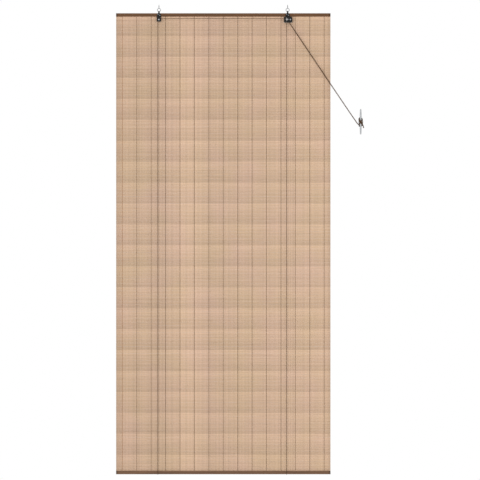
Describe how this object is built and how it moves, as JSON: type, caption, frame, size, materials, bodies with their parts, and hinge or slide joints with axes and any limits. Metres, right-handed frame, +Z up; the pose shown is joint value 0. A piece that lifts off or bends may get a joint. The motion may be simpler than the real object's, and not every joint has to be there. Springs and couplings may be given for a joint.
{
  "type": "bamboo roller blind",
  "caption": "Hanging bamboo slat blind between stained laths, hung from two ceiling eyes, with lift cords, a cord lock and a wall cleat for the pull cords.",
  "frame": {"origin": "midway between the axes of the two screw eyes, on the ceiling's face", "axes": "+X right as seen from the room, +Y towards the wall behind the blind, +Z up"},
  "size_m": [1.1602, 0.0553, 2.1926],
  "materials": {
    "bamboo": "matt, natural strip",
    "thread": "twisted cotton",
    "stained_wood": "dark stain, satin",
    "zinc": "bright zinc",
    "black_steel": "black lacquer",
    "sheave": "moulded",
    "cord": "braided",
    "cleat": "cast, satin"
  },
  "bodies": {
    "head": {"bamboo_mat": "bamboo", "warp_threads": "thread", "top_front_lath": "stained_wood", "top_back_lath": "stained_wood", "top_staples": "zinc", "anchor_staples": "zinc", "screw_eyes": "zinc", "left_hanger": "black_steel", "lock_housing": "black_steel", "bracket_screws": "zinc", "left_axle": "zinc", "lock_axle": "zinc", "cam_rivet": "zinc", "guide_pin": "black_steel", "left_lift_cord": "cord", "right_lift_cord": "cord", "anchor_knots": "cord", "cross_cord": "cord", "right_over_cord": "cord", "cleat": "cleat", "cleat_screws": "zinc", "cleat_hitch": "cord", "right_pull_cord": "cord", "left_pull_cord": "cord", "cord_tails": "cord", "tail_knot": "cord"},
    "bottom_rail": {"bottom_front_lath": "stained_wood", "bottom_back_lath": "stained_wood", "bottom_staples": "zinc", "cord_slings": "cord"},
    "left_wheel": {"left_sheave": "sheave"},
    "lock_rear_wheel": {"lock_rear_sheave": "sheave"},
    "lock_front_wheel": {"lock_front_sheave": "sheave"},
    "cam": {"lock_cam": "zinc"}
  },
  "joints": [
    {"name": "raise", "type": "slide", "parent": "head", "child": "bottom_rail", "axis": [0, 0, 1], "range_m": [0, 1.98], "deforming": ["bamboo_mat", "warp_threads", "left_lift_cord", "right_lift_cord"]},
    {"name": "left_sheave_spin", "type": "hinge", "parent": "head", "child": "left_wheel", "pos_m": [-0.3, -0.00605, -0.0555], "axis": [0, 1, 0], "continuous": true},
    {"name": "lock_rear_sheave_spin", "type": "hinge", "parent": "head", "child": "lock_rear_wheel", "pos_m": [0.3, -0.00605, -0.0555], "axis": [0, 1, 0], "continuous": true},
    {"name": "lock_front_sheave_spin", "type": "hinge", "parent": "head", "child": "lock_front_wheel", "pos_m": [0.3, -0.0107, -0.0555], "axis": [0, 1, 0], "continuous": true},
    {"name": "cam_swing", "type": "hinge", "parent": "head", "child": "cam", "pos_m": [0.31238, -0.0083, -0.056], "axis": [0, -1, 0], "range_deg": [0, 35]}
  ],
  "couplings": [
    {"joint": "left_sheave_spin", "follows": "raise", "rad_per_m": 400},
    {"joint": "lock_rear_sheave_spin", "follows": "raise", "rad_per_m": 400},
    {"joint": "lock_front_sheave_spin", "follows": "raise", "rad_per_m": 400}
  ]
}
